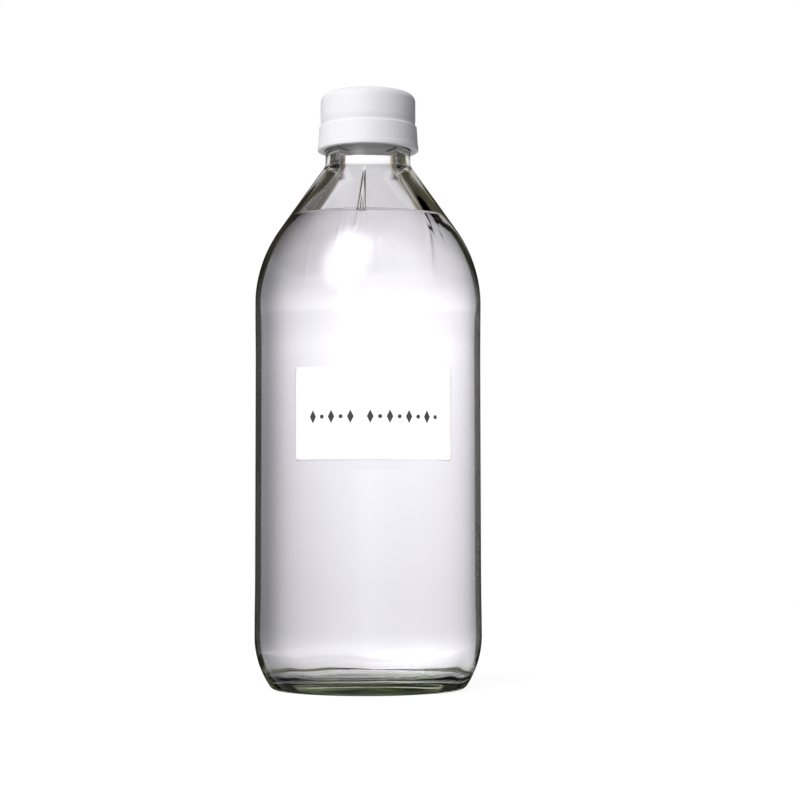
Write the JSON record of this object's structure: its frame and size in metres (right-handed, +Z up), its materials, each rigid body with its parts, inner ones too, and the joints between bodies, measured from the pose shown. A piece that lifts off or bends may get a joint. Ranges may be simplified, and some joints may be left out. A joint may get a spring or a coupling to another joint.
{
  "type": "vinegar bottle",
  "caption": "Round clear glass bottle of white vinegar with sloping shoulder, thick base, white screw cap and plain white paper label.",
  "frame": {"origin": "centre of the ring that the bottle stands on", "axes": "+Z up along the bottle's axis; the label faces -Y; +X is to the label's right as it is read"},
  "size_m": [0.072, 0.072, 0.19],
  "materials": {
    "clear_glass": "clear, moulded, smooth",
    "white_vinegar": "clear, colourless liquid",
    "white_plastic": "satin, moulded",
    "label_paper": "matte, uncoated"
  },
  "bodies": {
    "root": {"glass": "clear_glass", "vinegar": "white_vinegar", "cap": "white_plastic", "label": "label_paper"}
  },
  "joints": []
}
